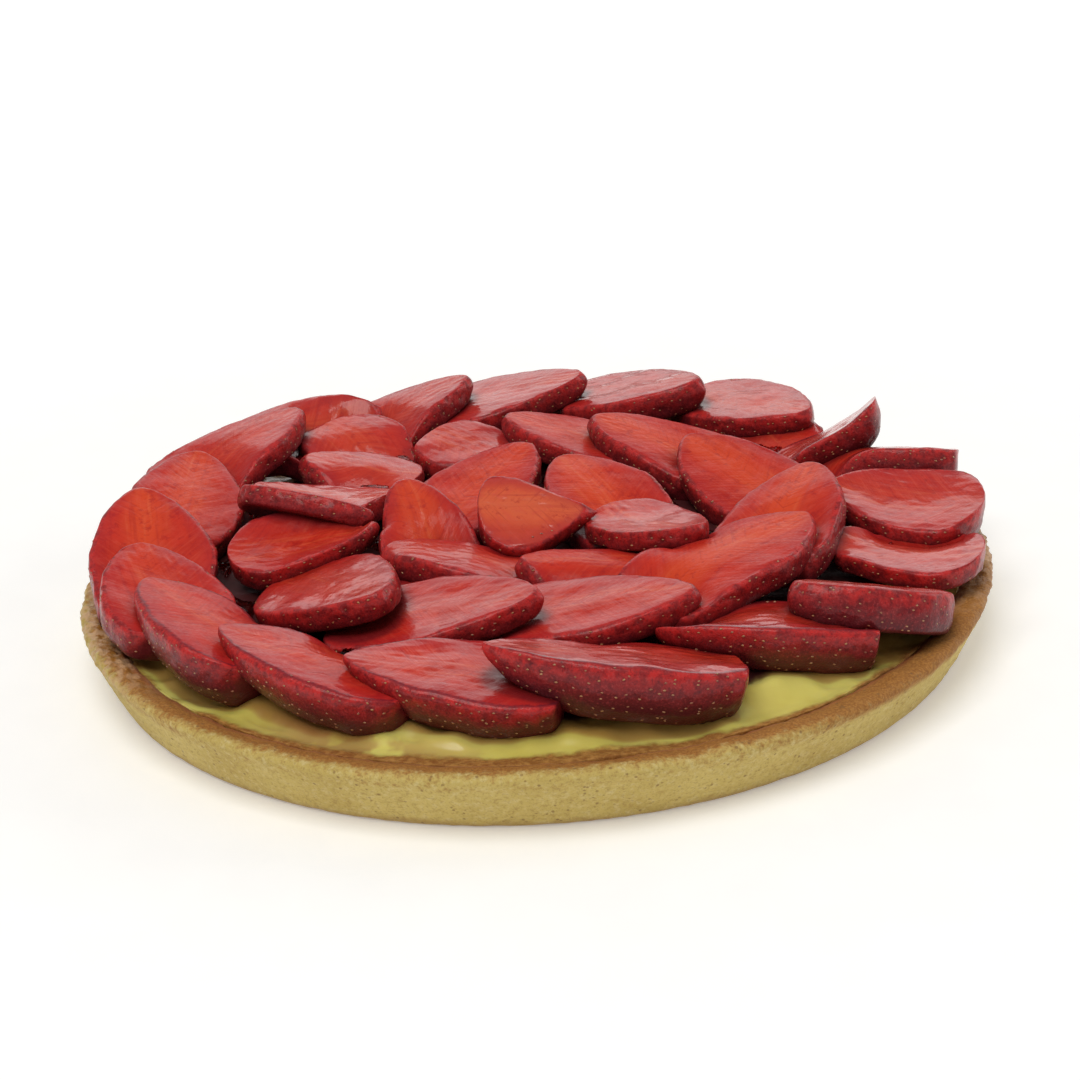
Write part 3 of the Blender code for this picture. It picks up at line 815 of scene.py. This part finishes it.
def seed_shape():
    """A drop along x: ring k at x = -cos(k pi / 4) with radius sin(k pi / 4), less towards its tip."""
    k = np.arange(1, SEED_RINGS + 1) * np.pi / (SEED_RINGS + 1)
    turn = np.arange(SEED_AROUND) * 2 * np.pi / SEED_AROUND
    radius = np.sin(k) * (1 - 0.25 * -np.cos(k))
    ring = np.stack([
        np.broadcast_to(-np.cos(k)[:, None], (SEED_RINGS, SEED_AROUND)),
        radius[:, None] * np.cos(turn), radius[:, None] * np.sin(turn)], axis=-1)
    return np.concatenate([[[-1, 0, 0]], ring.reshape(-1, 3), [[1, 0, 0]]])


def grid_normals(grid):
    """Unit normals of a closed grid, from the cross product of its differences both ways."""
    along = np.gradient(grid, axis=0)
    around = np.roll(grid, -1, axis=1) - np.roll(grid, 1, axis=1)
    normal = np.cross(around, along)
    return normal / np.maximum(np.linalg.norm(normal, axis=-1), 1e-12)[..., None]


def seed_frames(piece):
    """Place, normal and length direction of each seed of a slice that isn't covered."""
    flat = piece.unplaced.reshape(-1, 3)
    index = np.array([np.argmin(np.linalg.norm(flat - place, axis=1)) for place in piece.seeds])
    rng = np.random.default_rng(300 + piece.number)
    index = index[~piece.hidden.ravel()[index] & (rng.uniform(size=len(index)) < SEEDS_LEFT)]
    normal = grid_normals(piece.grid).reshape(-1, 3)[index]
    place = piece.grid.reshape(-1, 3)[index]
    outward = np.sign(np.einsum("ij,ij->i", normal, place - piece.grid.mean(axis=(0, 1))))
    normal = normal * outward[:, None]
    along = piece.matrix[:, 0] - normal * (normal @ piece.matrix[:, 0])[:, None]
    along /= np.linalg.norm(along, axis=1)[:, None]
    return place, normal, along


def build_seeds():
    frames = [seed_frames(piece) for piece in plan]
    place, normal, along = (np.concatenate(part) for part in zip(*frames))
    rng = np.random.default_rng(77)
    count = len(place)
    twist = rng.normal(0, 0.25, count)[:, None]
    side = np.cross(normal, along)
    along, side = along * np.cos(twist) + side * np.sin(twist), side * np.cos(twist) - along * np.sin(twist)
    shape = seed_shape() * SEED_SIZE
    size = rng.uniform(0.85, 1.15, (count, 1, 1))
    axes = np.stack([along, side, normal], axis=1)
    points = size * (shape @ axes) + (place + 0.02 * MM * normal)[:, None, :]
    faces = tube_faces(SEED_RINGS, SEED_AROUND)
    step = len(shape)
    moved = [(f[None] + (np.arange(count) * step)[:, None, None]).reshape(-1, f.shape[1]) for f in faces]
    tint = np.repeat(rng.uniform(0, 1, count), step)
    return mesh_object("strawberry_seeds", points.reshape(-1, 3), moved, slot="strawberry", tint=tint), count


def seed_look():
    n = Nodes("seed_husk")
    tint = n.attribute("tint")
    grain = n.noise(2500.0)
    colour = n.mix(tint, (0.44, 0.20, 0.07), (0.24, 0.035, 0.022))
    colour = n.mix(n.ramp(grain, 0.35, 0.7, 0.0, 0.4), colour, (0.50, 0.24, 0.09))
    return n.finish(Base_Color=colour, Roughness=0.4, Normal=n.bump(grain, 0.00005), Coat_Weight=1.0,
                    Coat_Roughness=0.1)


seeds, seed_count = build_seeds()
seeds.data.materials.append(seed_look())
print(seed_count, "seeds of", 2 * SEED_AROUND * SEED_RINGS, "triangles")

# %% [markdown]
# ## The baked case
#
# A shortcrust case is pale and sandy outside, where the tin kept it from browning, with fine grain
# and small dark specks. The lip browns first. Inside the lip the glaze has stained the crust.
# The outline is turned round the axis, as a lathe would, and then made uneven with waves of three
# sizes. At the left and right of the lip flakes have risen, which are a stronger relief.

# %% Crust
CRUST_AROUND = 880
OUTLINE_POINTS = 72
UNDER_RINGS = 12
FLOOR_RINGS = 10
LEFT_FLAKES_AT = 196
RIGHT_FLAKES_AT = 2


def crust_outline():
    """Radius and height from the middle of the base over the lip to the middle of the floor."""
    shown = np.array([*FOOT_AND_WALL, *LIP, *INSIDE]) * MM
    length = np.concatenate([[0], np.cumsum(np.hypot(*np.diff(shown, axis=0).T))])
    even = np.linspace(0, length[-1], OUTLINE_POINTS)
    outline = np.stack([np.interp(even, length, values) for values in shown.T])
    for _ in range(3):
        outline[:, 1:-1] = (outline[:, :-2] + 2 * outline[:, 1:-1] + outline[:, 2:]) / 4
    radius, height = outline
    under = np.linspace(6 * MM, radius[0] - 3 * MM, UNDER_RINGS)
    floor_in = np.linspace(radius[-1] - 3 * MM, 6 * MM, FLOOR_RINGS)
    radius = np.concatenate([under, radius, floor_in])
    height = np.concatenate([np.zeros(UNDER_RINGS), height, np.full(FLOOR_RINGS, height[-1])])
    return radius, height


def build_crust():
    """The outline turned round the axis, r(theta) and z(theta), moved along its normal by waves."""
    radius, height = crust_outline()
    theta = np.linspace(0, 2 * np.pi, CRUST_AROUND, endpoint=False)
    lift, spread = rim_swing(theta)
    up = smooth_step(0, SHELL_HEIGHT, height)[:, None]
    out = smooth_step(105 * MM, 122 * MM, radius)[:, None]
    r = radius[:, None] + spread * up * out
    z = height[:, None] + lift * up * out
    points = turned(r, z, theta)
    slope = np.gradient(radius), np.gradient(height)
    size = np.hypot(*slope)
    normal = turned((slope[1] / size)[:, None], (-slope[0] / size)[:, None], theta)
    shown = smooth_step(0.3 * MM, 2 * MM, height)[:, None]
    lip = smooth_step(14 * MM, 16.5 * MM, height)[:, None]
    degrees = np.degrees(theta)
    left = smooth_step(26, 8, np.abs(degrees - LEFT_FLAKES_AT))
    right = smooth_step(34, 10, np.abs((degrees + 180) % 360 - 180 - RIGHT_FLAKES_AT))
    flaky = np.maximum(left, right) * lip
    relief = 0.16 * waves(points, 9 * MM, 21) + 0.10 * waves(points, 3.2 * MM, 22)
    relief = relief + 0.22 * lip * waves(points, 14 * MM, 23)
    relief = relief + flaky * (0.5 * np.abs(waves(points, 3.6 * MM, 24)) + 0.3 * waves(points, 2.2 * MM, 25))
    points = points + normal * (relief * shown)[..., None] * MM
    foot = 0.12 * MM * (1 - shown) * (height < MM)[:, None] * np.abs(waves(points, 8 * MM, 26))
    points[..., 2] += foot * (radius > 100 * MM)[:, None]
    flat = np.concatenate([[[0, 0, height[0]]], points.reshape(-1, 3), [[0, 0, height[-1]]]])
    flaky = np.concatenate([[0], np.broadcast_to(flaky, r.shape).ravel(), [0]])
    faces = [f[:, ::-1] for f in tube_faces(len(radius), CRUST_AROUND)]
    return mesh_object("baked_crust", flat, faces, slot="shortcrust", flaky=flaky)


def crust_look():
    n = Nodes("golden_shortcrust")
    x, _, height = n.parts(n.object)
    radius = n.from_axis()
    flaky = n.attribute("flaky")
    cloud = n.noise(38.0)
    grain = n.noise(620.0, detail=4.0, roughness=0.65)
    sand = n.noise(1700.0, detail=2.0)
    pale = n.layered(
        n.mix(n.ramp(cloud, 0.35, 0.68), (0.62, 0.475, 0.145), (0.53, 0.385, 0.104)),
        (n.ramp(grain, 0.50, 0.70, 0.0, 0.6), (0.68, 0.56, 0.27)),
        (n.ramp(grain, 0.48, 0.30, 0.0, 0.6), (0.40, 0.25, 0.070)),
        (n.ramp(sand, 0.50, 0.30, 0.0, 0.5), (0.38, 0.24, 0.075)),
        (n.ramp(n.strayed(height, cloud, 0.006), 0.0026, 0.0002, 0.0, 0.55), (0.36, 0.19, 0.050)),
    )
    # The brown of the lip reaches further out towards the right.
    mottled = n.strayed(n.strayed(radius, grain, 0.0055), cloud, 0.006)
    mottled = n.line(n.ramp(x, 0.03, 0.11), -0.0042, mottled)
    on_lip = n.times(n.ramp(mottled, 0.1249, 0.1210), n.ramp(height, 0.0120, 0.0150))
    baked = n.mix(n.ramp(sand, 0.35, 0.7), (0.28, 0.098, 0.016), (0.43, 0.175, 0.034))
    inner = n.ramp(radius, 0.1195, 0.1165)
    stain = n.mix(n.ramp(n.noise(110.0), 0.35, 0.65), (0.30, 0.088, 0.034), (0.42, 0.155, 0.065))
    specks = n.ramp(n.spots(480.0), 0.24, 0.12, 0.0, 0.7)
    lumps = n.ramp(n.noise(330.0, detail=2.0), 0.42, 0.6)
    colour = n.layered(
        pale,
        (n.times(on_lip, 0.92), baked),
        (n.times(inner, n.ramp(height, 0.010, 0.0145)), stain),
        (n.times(specks, n.ramp(n.noise(170.0, detail=1.0), 0.45, 0.58)), (0.22, 0.115, 0.038)),
        (n.times(flaky, n.times(lumps, 0.7)), (0.66, 0.42, 0.24)),
    )
    glossy = n.math("MAXIMUM", n.times(inner, 0.8), flaky)
    return n.finish(
        Base_Color=colour, Roughness=n.line(glossy, -0.42, 0.74),
        Normal=n.bump(sand, 0.00012, after=n.bump(grain, 0.0004)), Specular_IOR_Level=0.35)


crust = build_crust()
crust.data.materials.append(crust_look())
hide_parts("crust")
print("crust:", len(crust.data.polygons), "faces")

# %% [markdown]
# ## The custard
#
# Set pastry cream is smooth and glossy, a clear light yellow. It shows only round the edge, where
# juice and glaze tint it in places, and it has settled into low swells against the case and fruit.
# It takes its height from the same function as the bed of the slices, so they lie in it and not
# over it. Towards the case it has a dull brown brim, and under the fruit it is painted near black, as shade
# in the gaps between the slices.

# %% Custard
CUSTARD_AROUND = 540
CUSTARD_FLOOR = 4.4 * MM


def build_custard():
    """Rings of a disc at custard_height, closed below by three more rings down to the case's floor."""
    theta = np.linspace(0, 2 * np.pi, CUSTARD_AROUND, endpoint=False)
    edge = RIM_RADIUS - RIM_WIDTH + rim_swing(theta)[1] + 0.5 * MM
    share = np.concatenate([np.linspace(0.06, 0.70, 24), np.linspace(0.71, 1.0, 64)])
    r = share[:, None] * edge
    x, y = r * np.cos(theta), r * np.sin(theta)
    fruit = blurred(np.where(fruit_top > 0, 1.0, 0.0), 30)
    near = sample(fruit, x, y)
    z = custard_height(x, y) + 0.5 * MM * smooth_step(0.05, 0.6, near) * waves(
        np.stack([x, y, 0 * x], axis=-1), 9 * MM, 31)
    wall = [turned(s * edge, h, theta) for s, h in ((0.985, 12 * MM), (0.970, 5 * MM), (0.4, CUSTARD_FLOOR))]
    rings = np.concatenate([np.stack([x, y, z], axis=-1), np.stack(wall)])
    near = np.concatenate([near, np.zeros((3, CUSTARD_AROUND))])
    flat = np.concatenate([[[0, 0, z[0].mean()]], rings.reshape(-1, 3), [[0, 0, CUSTARD_FLOOR]]])
    stain = np.concatenate([[1], near.ravel(), [0]])
    faces = tube_faces(len(rings), CUSTARD_AROUND)
    return mesh_object("custard_filling", flat, faces, slot="custard", near=stain)


def custard_look():
    n = Nodes("pastry_cream")
    x, y, _ = n.parts(n.object)
    cloud = n.noise(45.0)
    blot = n.noise(85.0)
    fine = n.noise(420.0)
    crumbs = n.noise(620.0, detail=4.0, roughness=0.65)
    cream = n.mix(n.ramp(cloud, 0.35, 0.65), (0.78, 0.70, 0.18), (0.66, 0.57, 0.12))
    # Juice has stained the cream most at the front, left of the middle.
    front_left = n.ramp(n.math("ADD", n.times(x, 0.55), n.times(y, 1.0)), -0.110, -0.128)
    patch = n.times(n.times(front_left, n.ramp(x, 0.004, -0.012)), n.ramp(x, -0.075, -0.055))
    pink = n.times(n.ramp(blot, 0.40, 0.55), n.line(patch, 0.70, 0.05))
    # Deep inside, under the fruit, it is painted near black: shade in the gaps. At the case it has baked to
    # a brown brim.
    ragged = n.strayed(n.strayed(n.from_axis(), blot, 0.007), fine, 0.002)
    inside = n.ramp(ragged, 0.1010, 0.0970)
    ragged = n.line(n.ramp(n.math("ABSOLUTE", x), 0.02, 0.07), -0.0034, ragged)
    brim = n.ramp(ragged, 0.1106, 0.1132)
    brown = n.mix(n.ramp(crumbs, 0.38, 0.66), (0.25, 0.085, 0.018), (0.44, 0.20, 0.052))
    colour = n.layered(
        cream,
        (pink, (0.46, 0.24, 0.090)),
        (n.ramp(n.attribute("near"), 0.86, 1.0, 0.0, 0.6), (0.40, 0.12, 0.040)),
        # Painted shade: the cream under the fruit is near black.
        (inside, (0.055, 0.008, 0.009)),
        (n.times(brim, 0.95), brown),
    )
    normal = n.bump(fine, 0.00004, after=n.bump(cloud, 0.0008))
    matt = n.math("MAXIMUM", brim, inside)
    return n.finish(
        Base_Color=colour, Roughness=n.line(matt, 0.35, 0.30),
        Normal=n.bump(n.times(crumbs, brim), 0.0004, after=normal),
        Coat_Weight=n.line(matt, -0.5, 0.5), Coat_Roughness=0.15, Specular_IOR_Level=0.2,
        Subsurface_Weight=0.3, Subsurface_Radius=(1.0, 0.8, 0.4), Subsurface_Scale=0.004)


custard = build_custard()
custard.data.materials.append(custard_look())
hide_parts("custard")
print("custard:", len(custard.data.polygons), "faces")

# %% [markdown]
# ## Glaze
#
# Brushed glaze runs off the faces and gathers in the low, wide hollows between the slices. The
# tart's top is taken as a height map, and a film is relaxed over it: it may not go below the fruit
# nor stand more than a few millimetres above it, so it fills hollows and leaves the faces bare. Only
# low, level and wide filled places get a mesh, closed underneath inside the fruit. A fluid simulation
# could do the same, but it would be slower and no truer at this size.

# %% Glaze in the creases
GLAZE_PASSES = 46
GLAZE_STAND = 2.6 * MM
GLAZE_SINK = 0.10 * MM
GLAZE_LEAST = 0.45 * MM
GLAZE_STEEPEST = 0.6 * MM
GLAZE_REACH = 102 * MM
GLAZE_SKIN = 0.5 * MM
GLAZE_EDGE = 0.05 * MM
GLAZE_TOP = 25 * MM
WIDE_ENOUGH = 0.62
NEAR_WIDE = 0.16
NEAR_POOLED = 0.3


def relaxed_film(solid, stand):
    """film = min(max(solid, blurred film), solid + stand), over and over, then smoothed a little."""
    film = solid
    for _ in range(GLAZE_PASSES):
        film = np.minimum(np.maximum(solid, blurred(film, 2)), solid + stand)
    return np.maximum(solid, blurred(film, 1))


def build_glaze():
    """One quad for each map cell with glaze, a copy of them below, and walls along the open edges."""
    solid = np.maximum(fruit_top, bed_height(MAP_X, MAP_Y))
    film = relaxed_film(solid, GLAZE_STAND)
    pooled = np.where(film - solid > GLAZE_LEAST, 1.0, 0.0)
    pooled = np.where(np.hypot(MAP_X, MAP_Y) < GLAZE_REACH, pooled, 0.0)
    wide = np.where(blurred(pooled, 40) > WIDE_ENOUGH, 1.0, 0.0)
    film = blurred(film, 5)
    zone = (blurred(wide, 30) > NEAR_WIDE) & (blurred(pooled, 8) > NEAR_POOLED) & (film < GLAZE_TOP)
    corners_of = [film[:-1, :-1], film[1:, :-1], film[1:, 1:], film[:-1, 1:]]
    level = np.ptp(corners_of, axis=0) < GLAZE_STEEPEST
    quads_at = zone[:-1, :-1] & zone[1:, :-1] & zone[1:, 1:] & zone[:-1, 1:] & level
    i, j = np.nonzero(quads_at)
    cell = i * CELLS + j
    cells = np.stack([cell, cell + CELLS, cell + CELLS + 1, cell + 1], axis=-1)
    used, index = np.unique(cells, return_inverse=True)
    quads = index.reshape(-1, 4)
    edges = np.concatenate([quads[:, [k, (k + 1) % 4]] for k in range(4)])
    key = np.sort(edges, axis=1) @ (len(used) + 1, 1)
    _, first, times = np.unique(key, return_index=True, return_counts=True)
    rim = edges[first[times == 1]]
    top = np.stack([MAP_X.ravel()[used], MAP_Y.ravel()[used], film.ravel()[used] - GLAZE_SINK], axis=-1)
    at_rim = np.zeros(len(used), bool)
    at_rim[rim.ravel()] = True
    below = solid.ravel()[used]
    top[:, 2] = np.where(at_rim, np.minimum(below, top[:, 2]) - 2 * GLAZE_SINK, top[:, 2])
    under = top.copy()
    under[:, 2] = np.minimum(below, top[:, 2]) - np.where(at_rim, GLAZE_EDGE, GLAZE_SKIN)
    count = len(used)
    sides = np.stack([rim[:, 1], rim[:, 0], rim[:, 0] + count, rim[:, 1] + count], axis=-1)
    faces = [quads, quads[:, ::-1] + count, sides]
    return mesh_object("red_glaze", np.concatenate([top, under]), faces, slot="strawberry")


def glaze_look():
    n = Nodes("red_glaze")
    ripple = n.noise(130.0, detail=2.0)
    colour = n.mix(n.ramp(ripple, 0.35, 0.65), (0.45, 0.05, 0.05), (0.62, 0.10, 0.09))
    return n.finish(Base_Color=colour, Roughness=0.10, Transmission_Weight=1.0, IOR=1.28,
                    Normal=n.bump(ripple, 0.0005))


glaze = build_glaze()
glaze.data.materials.append(glaze_look())
print("glaze:", 2 * len(glaze.data.polygons), "triangles")

# %% [markdown]
# ## Camera, light and floor
#
# A pale floor under a bright, even room. Windows behind and to the right glance off the glaze, and a
# broad lamp above the front fills the skins of the near slices. The room is white to the camera and
# dimmer to everything else, so the glaze keeps dark places to reflect.

# %% Stage
def look_at(obj, place, target, roll=0.0):
    """Places obj so that its -Z runs from place to target, turned by roll about that line."""
    place, target = np.array(place), np.array(target)
    back = (place - target) / np.linalg.norm(place - target)
    right = np.cross((0, 0, 1), back)
    right /= np.linalg.norm(right)
    up = np.cross(back, right)
    across = right * np.cos(roll) + up * np.sin(roll)
    above = up * np.cos(roll) - right * np.sin(roll)
    matrix = np.eye(4)
    matrix[:3, 0], matrix[:3, 1], matrix[:3, 2], matrix[:3, 3] = across, above, back, place
    obj.matrix_world = [list(row) for row in matrix.T]
    return obj


def area_light(name, place, target, size, power, colour=(1, 1, 1)):
    lamp = bpy.data.lights.new(name, "AREA")
    lamp.shape = "RECTANGLE"
    lamp.size, lamp.size_y = size
    lamp.energy = power
    lamp.color = colour
    obj = bpy.data.objects.new(name, lamp)
    bpy.context.scene.collection.objects.link(obj)
    return look_at(obj, place, target)


ROOM_LIGHT = 0.32
WINDOW_POWER = 2.9
SIDE_POWER = 2.5
TOP_POWER = 10.6
FLOOR_GLOW = 0.85
FLOOR_GLOW_NEAR = 0.22
FLOOR_HALF = 6.0
TART_MIDDLE = (0, 0, 0.02)
CAMERA_PLACE = (0, -0.52144, 0.24041)
CAMERA_TARGET = (0.00199, 0, 0.02148)
CAMERA_ROLL = np.radians(-3.481)
CAMERA_LENS = 67.918
SENSOR_WIDTH = 36.0

camera_data = bpy.data.cameras.new("camera")
camera_data.lens = CAMERA_LENS
camera_data.sensor_width = SENSOR_WIDTH
camera = bpy.data.objects.new("camera", camera_data)
bpy.context.scene.collection.objects.link(camera)
look_at(camera, CAMERA_PLACE, CAMERA_TARGET, CAMERA_ROLL)
bpy.context.scene.camera = camera
bpy.context.scene.view_settings.view_transform = "Standard"

world = bpy.data.worlds.new("room")
world.use_nodes = True
nodes, links = world.node_tree.nodes, world.node_tree.links
lit, seen = nodes["Background"], nodes.new("ShaderNodeBackground")
lit.inputs["Strength"].default_value = ROOM_LIGHT
lit.inputs["Color"].default_value = (1.0, 0.99, 0.97, 1.0)
seen.inputs["Color"].default_value = (1.0, 1.0, 1.0, 1.0)
by_ray = nodes.new("ShaderNodeMixShader")
links.new(nodes.new("ShaderNodeLightPath").outputs["Is Camera Ray"], by_ray.inputs[0])
links.new(lit.outputs[0], by_ray.inputs[1])
links.new(seen.outputs[0], by_ray.inputs[2])
links.new(by_ray.outputs[0], nodes["World Output"].inputs["Surface"])
bpy.context.scene.world = world
area_light("back_window", (0.05, 1.15, 0.56), TART_MIDDLE, (1.25, 0.75), WINDOW_POWER)
area_light("side_window", (1.05, 0.35, 0.50), TART_MIDDLE, (0.6, 0.6), SIDE_POWER)
area_light("top_light", (-0.25, -0.45, 1.25), TART_MIDDLE, (0.9, 0.9), TOP_POWER, (1.0, 0.98, 0.95))


def floor_look():
    """Pale and even near the tart, and white light of its own far away, so that no horizon shows."""
    n = Nodes("pale_floor")
    grain = n.noise(60.0, detail=4.0)
    colour = n.mix(n.ramp(grain, 0.3, 0.7), (0.88, 0.88, 0.87), (0.90, 0.90, 0.89))
    far = n.ramp(n.length(n.object), 0.16, 1.1)
    return n.finish(
        Base_Color=colour, Roughness=0.8, Normal=n.bump(grain, 0.0002), Emission_Color=(1.0, 1.0, 1.0),
        Emission_Strength=n.line(far, FLOOR_GLOW, FLOOR_GLOW_NEAR))


floor_corners = FLOOR_HALF * np.array([[-1, -1, 0], [1, -1, 0], [1, 1, 0], [-1, 1, 0]])
floor = mesh_object("floor", floor_corners, [np.array([[0, 1, 2, 3]])], body=None)
floor.data.materials.append(floor_look())
floor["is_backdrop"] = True
print("camera and", len(bpy.data.lights), "lamps placed")

# %% [markdown]
# ## Size
#
# The boxes of the CAD and of the finished tart are worked out side by side, so they can be compared. Fruit
# may stand a few millimetres past the CAD, because its slices bend here and are stiff there.

# %% The size of the tart
def corners(pair):
    return [list(map(float, corner)) for corner in pair]


{"cad": corners((cad_low, cad_high)), "visual": corners(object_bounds())}
